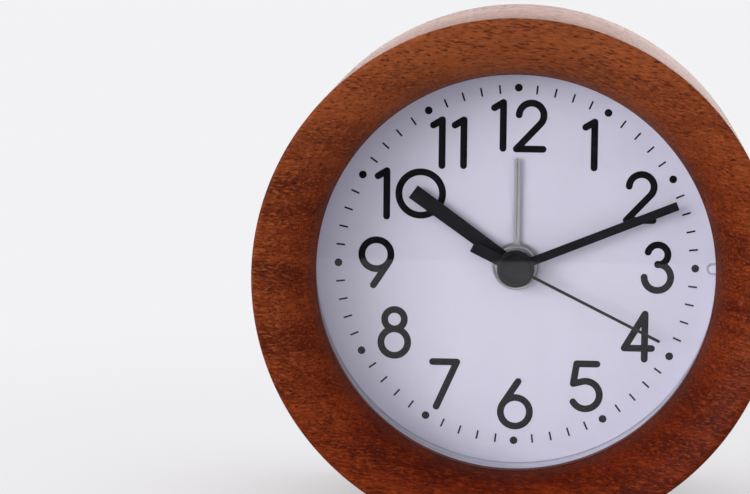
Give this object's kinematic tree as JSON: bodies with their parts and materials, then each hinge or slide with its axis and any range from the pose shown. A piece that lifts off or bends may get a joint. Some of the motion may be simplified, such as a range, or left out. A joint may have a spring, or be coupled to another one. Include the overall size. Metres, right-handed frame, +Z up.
{
  "type": "desk alarm clock",
  "caption": "Round wooden desk alarm clock: turned drum case, flat glass, white dial, four hands on a geared quartz movement, battery back with setting knobs.",
  "frame": {"origin": "on the plane that the foot pads stand on, under the middle of the case", "axes": "the dial faces -Y, +X is to the right seen from the front, +Z is up"},
  "size_m": [0.1, 0.048, 0.097],
  "materials": {
    "lacquered_wood": "satin lacquered mahogany-toned hardwood",
    "clear_silicone": "soft translucent",
    "mineral_glass": "polished",
    "printed_dial": "matt white",
    "white_abs": "moulded",
    "silver_hand": "brushed",
    "black_hand": "satin black",
    "black_cap": "satin",
    "movement_plastic": "moulded",
    "brass_plate": "stamped",
    "ferrite": "matt",
    "zinc_steel": "zinc plated",
    "wheel_plastic": "natural acetal",
    "enamelled_copper": "wound",
    "circuit_board": "solder mask",
    "chip_resin": "gloss",
    "knob_abs": "fluted",
    "battery_sleeve": "printed sleeve, plain",
    "switch_black": "moulded",
    "cover_abs": "fine texture"
  },
  "bodies": {
    "case": {"wooden_case": "lacquered_wood", "foot_pads": "clear_silicone", "lens": "mineral_glass", "dial": "printed_dial", "dial_housing": "white_abs", "movement_front_housing": "movement_plastic", "bridge_plate": "movement_plastic", "movement_rear_housing": "movement_plastic", "stator": "zinc_steel", "coil_core": "zinc_steel", "coil_bobbin": "wheel_plastic", "coil_winding": "enamelled_copper", "circuit_board": "circuit_board", "quartz_crystal": "zinc_steel", "clock_chip": "chip_resin", "battery": "battery_sleeve", "battery_contact_positive": "zinc_steel", "battery_contact_negative": "zinc_steel", "buzzer": "brass_plate", "alarm_switch_body": "switch_black", "back_cover": "cover_abs", "cover_screws": "zinc_steel", "movement_screws": "zinc_steel"},
    "seconds": {"second_hand": "black_hand", "hand_cap": "black_cap", "seconds_wheel": "wheel_plastic"},
    "fifth": {"fifth_wheel": "wheel_plastic"},
    "motor_rotor": {"rotor": "wheel_plastic", "rotor_magnet": "ferrite"},
    "third": {"third_wheel": "wheel_plastic"},
    "centre": {"centre_wheel": "wheel_plastic"},
    "minutes": {"minute_hand": "black_hand", "minute_arbor": "wheel_plastic", "clutch_spring": "brass_plate"},
    "minute_work": {"minute_work_wheel": "wheel_plastic"},
    "hours": {"hour_hand": "black_hand", "hour_wheel": "wheel_plastic"},
    "time_setting": {"time_setting_shaft": "wheel_plastic", "time_setting_knob": "knob_abs"},
    "alarm_setting": {"alarm_setting_shaft": "wheel_plastic", "alarm_setting_knob": "knob_abs"},
    "alarm": {"alarm_hand": "silver_hand", "alarm_wheel": "wheel_plastic"},
    "alarm_switch": {"alarm_switch_slider": "switch_black"},
    "door": {"battery_door": "cover_abs"}
  },
  "joints": [
    {"name": "second_hand_turn", "type": "hinge", "parent": "case", "child": "seconds", "pos_m": [0, 0, 0.047], "axis": [0, 1, 0], "continuous": true},
    {"name": "fifth_wheel_turn", "type": "hinge", "parent": "case", "child": "fifth", "pos_m": [0, 0, 0.0574], "axis": [0, 1, 0], "continuous": true},
    {"name": "rotor_turn", "type": "hinge", "parent": "case", "child": "motor_rotor", "pos_m": [0, 0, 0.0634], "axis": [0, 1, 0], "continuous": true},
    {"name": "third_wheel_turn", "type": "hinge", "parent": "case", "child": "third", "pos_m": [0.0102, 0, 0.047], "axis": [0, 1, 0], "continuous": true},
    {"name": "centre_wheel_turn", "type": "hinge", "parent": "case", "child": "centre", "pos_m": [0, 0, 0.047], "axis": [0, 1, 0], "continuous": true},
    {"name": "minute_hand_turn", "type": "hinge", "parent": "case", "child": "minutes", "pos_m": [0, 0, 0.047], "axis": [0, 1, 0], "continuous": true},
    {"name": "minute_work_turn", "type": "hinge", "parent": "case", "child": "minute_work", "pos_m": [0.006, 0, 0.05739], "axis": [0, 1, 0], "continuous": true},
    {"name": "hour_hand_turn", "type": "hinge", "parent": "case", "child": "hours", "pos_m": [0, 0, 0.047], "axis": [0, 1, 0], "continuous": true},
    {"name": "time_knob_turn", "type": "hinge", "parent": "case", "child": "time_setting", "pos_m": [0.01793, 0, 0.05614], "axis": [0, 1, 0], "continuous": true},
    {"name": "alarm_knob_turn", "type": "hinge", "parent": "case", "child": "alarm_setting", "pos_m": [-0.01091, 0, 0.0533], "axis": [0, 1, 0], "continuous": true},
    {"name": "alarm_hand_turn", "type": "hinge", "parent": "case", "child": "alarm", "pos_m": [0, 0, 0.047], "axis": [0, 1, 0], "continuous": true},
    {"name": "alarm_switch_slide", "type": "slide", "parent": "case", "child": "alarm_switch", "axis": [0, 0, 1], "range_m": [0, 0.003]},
    {"name": "battery_door_hinge", "type": "hinge", "parent": "case", "child": "door", "pos_m": [0, 0.0208, 0.0189], "axis": [-1, 0, 0], "range_deg": [0, 80]}
  ],
  "couplings": [
    {"joint": "fifth_wheel_turn", "follows": "second_hand_turn", "ratio": -6},
    {"joint": "rotor_turn", "follows": "second_hand_turn", "ratio": 30},
    {"joint": "third_wheel_turn", "follows": "second_hand_turn", "ratio": -0.13333},
    {"joint": "centre_wheel_turn", "follows": "second_hand_turn", "ratio": 0.016667},
    {"joint": "minute_work_turn", "follows": "minute_hand_turn", "ratio": -0.33333},
    {"joint": "hour_hand_turn", "follows": "minute_hand_turn", "ratio": 0.083333},
    {"joint": "time_knob_turn", "follows": "minute_hand_turn", "ratio": 1},
    {"joint": "alarm_hand_turn", "follows": "alarm_knob_turn", "ratio": -0.25}
  ]
}
